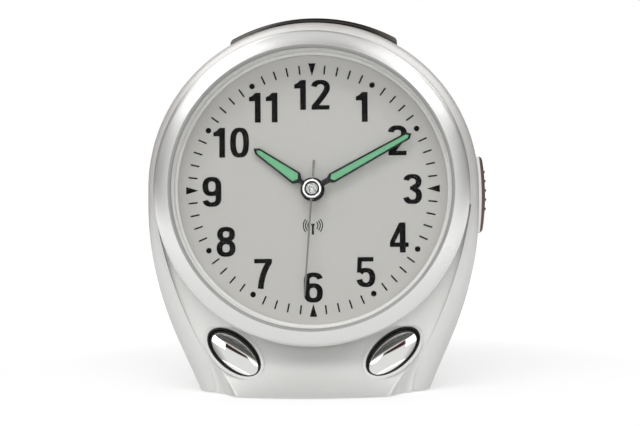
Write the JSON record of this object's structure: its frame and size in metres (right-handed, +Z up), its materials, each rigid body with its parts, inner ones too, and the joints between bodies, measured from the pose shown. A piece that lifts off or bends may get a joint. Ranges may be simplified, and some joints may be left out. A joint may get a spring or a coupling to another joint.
{
  "type": "talking table clock",
  "caption": "Round silver table clock with a lensed analogue dial, a chrome talk bar on top, oval front buttons and a side slide switch, on a flared base.",
  "frame": {"origin": "on the table under the middle of the base pad", "axes": "+Z up, -Y towards the viewer of the dial, +X to the viewer's right; the dial leans back"},
  "size_m": [0.1046, 0.0608, 0.1155],
  "materials": {
    "case_silver": "satin silver paint",
    "bezel_silver": "satin silver paint",
    "clear_lens": "clear polished",
    "dial_print": "matt printed sheet",
    "dial_trim": "matt",
    "dial_carrier": "moulded",
    "hand_black": "black lacquer",
    "hand_lume": "luminous paint",
    "hand_grey": "grey lacquer",
    "chrome_plate": "bright chrome plating on plastic",
    "dark_chrome": "dark chrome plating on plastic",
    "black_well": "matt black",
    "black_control": "fine texture",
    "soft_rubber": "soft",
    "dome_rubber": "silicone",
    "steel_screw": "zinc plated",
    "movement_case": "moulded",
    "gear_white": "moulded",
    "rotor_magnet": "ground",
    "stator_iron": "stamped",
    "copper_wire": "enamelled wire",
    "circuit_board": "solder resist",
    "chip_black": "moulded",
    "speaker_steel": "stamped",
    "speaker_paper": "pressed paper",
    "cell_jacket": "plain printed jacket",
    "contact_metal": "nickel plated",
    "ferrite": "sintered"
  },
  "bodies": {
    "case": {"front_case": "case_silver", "rear_case": "case_silver", "bezel_ring": "bezel_silver", "lens": "clear_lens", "base_pad": "soft_rubber", "case_screws": "steel_screw", "dial_ring": "dial_trim", "dial_face": "dial_print", "dial_base": "dial_carrier", "dial_screws": "steel_screw", "movement_front": "movement_case", "movement_back": "movement_case", "movement_screws": "steel_screw", "minute_stator": "stator_iron", "minute_coil": "copper_wire", "second_stator": "stator_iron", "second_coil": "copper_wire", "button_sleeves": "black_well", "left_dome": "dome_rubber", "right_dome": "dome_rubber", "button_board": "circuit_board", "talk_dome": "dome_rubber", "side_switch_body": "black_control", "main_board": "circuit_board", "voice_chip": "chip_black", "speaker_frame": "speaker_steel", "speaker_cone": "speaker_paper", "speaker_screws": "steel_screw", "control_board": "circuit_board", "zone_switch_body": "black_control", "sync_dome": "dome_rubber", "battery_upper": "cell_jacket", "battery_lower": "cell_jacket", "battery_springs": "contact_metal", "battery_plates": "contact_metal", "antenna_rod": "ferrite", "antenna_coil": "copper_wire", "antenna_holders": "dial_carrier"},
    "hour_hand": {"hour_hand": "hand_black", "hour_lume": "hand_lume", "hour_wheel": "gear_white"},
    "minute_hand": {"minute_hand": "hand_black", "minute_lume": "hand_lume", "minute_wheel": "gear_white"},
    "second_hand": {"second_hand": "hand_grey", "hand_cap": "chrome_plate", "second_wheel": "gear_white"},
    "motion_wheel": {"motion_wheel": "gear_white"},
    "minute_idler": {"minute_idler": "gear_white"},
    "minute_rotor": {"minute_rotor": "rotor_magnet"},
    "second_idler": {"second_idler": "gear_white"},
    "second_rotor": {"second_rotor": "rotor_magnet"},
    "talk_bar": {"talk_bar": "dark_chrome"},
    "left_button": {"left_button": "chrome_plate"},
    "right_button": {"right_button": "chrome_plate"},
    "side_switch": {"side_switch": "dark_chrome"},
    "zone_switch": {"zone_switch": "black_control"},
    "sync_button": {"sync_button": "black_control"},
    "battery_door": {"battery_door": "case_silver"}
  },
  "joints": [
    {"name": "minute_hand_turn", "type": "hinge", "parent": "case", "child": "minute_hand", "pos_m": [0, -0.007, 0.062], "axis": [0, 0.9962, -0.0872], "continuous": true},
    {"name": "hour_hand_turn", "type": "hinge", "parent": "case", "child": "hour_hand", "pos_m": [0, -0.007, 0.062], "axis": [0, 0.9962, -0.0872], "continuous": true},
    {"name": "motion_wheel_turn", "type": "hinge", "parent": "case", "child": "motion_wheel", "pos_m": [0, -0.00622, 0.07097], "axis": [0, 0.9962, -0.0872], "continuous": true},
    {"name": "minute_idler_turn", "type": "hinge", "parent": "case", "child": "minute_idler", "pos_m": [-0.00974, -0.00749, 0.0564], "axis": [0, 0.9962, -0.0872], "continuous": true},
    {"name": "minute_rotor_turn", "type": "hinge", "parent": "case", "child": "minute_rotor", "pos_m": [-0.01657, -0.0082, 0.04829], "axis": [0, 0.9962, -0.0872], "continuous": true},
    {"name": "second_hand_turn", "type": "hinge", "parent": "case", "child": "second_hand", "pos_m": [0, -0.007, 0.062], "axis": [0, 0.9962, -0.0872], "continuous": true},
    {"name": "second_idler_turn", "type": "hinge", "parent": "case", "child": "second_idler", "pos_m": [0.00758, -0.00738, 0.05764], "axis": [0, 0.9962, -0.0872], "continuous": true},
    {"name": "second_rotor_turn", "type": "hinge", "parent": "case", "child": "second_rotor", "pos_m": [0.0124, -0.00788, 0.05192], "axis": [0, 0.9962, -0.0872], "continuous": true},
    {"name": "talk_bar_push", "type": "slide", "parent": "case", "child": "talk_bar", "axis": [0, -0.0872, -0.9962], "range_m": [0, 0.0012], "stiffness_N_per_m": 1200, "springref_m": -0.0006, "deforming": ["talk_dome"]},
    {"name": "left_button_push", "type": "slide", "parent": "case", "child": "left_button", "axis": [0, 0.9205, -0.3907], "range_m": [0, 0.0012], "stiffness_N_per_m": 800, "springref_m": -0.0006, "deforming": ["left_dome"]},
    {"name": "right_button_push", "type": "slide", "parent": "case", "child": "right_button", "axis": [0, 0.9205, -0.3907], "range_m": [0, 0.0012], "stiffness_N_per_m": 800, "springref_m": -0.0006, "deforming": ["right_dome"]},
    {"name": "sync_button_push", "type": "slide", "parent": "case", "child": "sync_button", "axis": [0, -0.9962, 0.0872], "range_m": [0, 0.0008], "stiffness_N_per_m": 800, "springref_m": -0.0004, "deforming": ["sync_dome"]},
    {"name": "side_switch_slide", "type": "slide", "parent": "case", "child": "side_switch", "axis": [0, 0.0872, 0.9962], "range_m": [-0.002, 0.002]},
    {"name": "zone_switch_slide", "type": "slide", "parent": "case", "child": "zone_switch", "axis": [1, 0, 0], "range_m": [-0.0025, 0.0025]},
    {"name": "battery_door_hinge", "type": "hinge", "parent": "case", "child": "battery_door", "pos_m": [0, 0.02522, 0.00799], "axis": [-1, 0, 0], "range_deg": [0, 75]}
  ],
  "couplings": [
    {"joint": "hour_hand_turn", "follows": "minute_hand_turn", "ratio": 0.083333},
    {"joint": "motion_wheel_turn", "follows": "minute_hand_turn", "ratio": -0.33333},
    {"joint": "minute_idler_turn", "follows": "minute_hand_turn", "ratio": -8},
    {"joint": "minute_rotor_turn", "follows": "minute_hand_turn", "ratio": 60},
    {"joint": "second_idler_turn", "follows": "second_hand_turn", "ratio": -6},
    {"joint": "second_rotor_turn", "follows": "second_hand_turn", "ratio": 30}
  ]
}
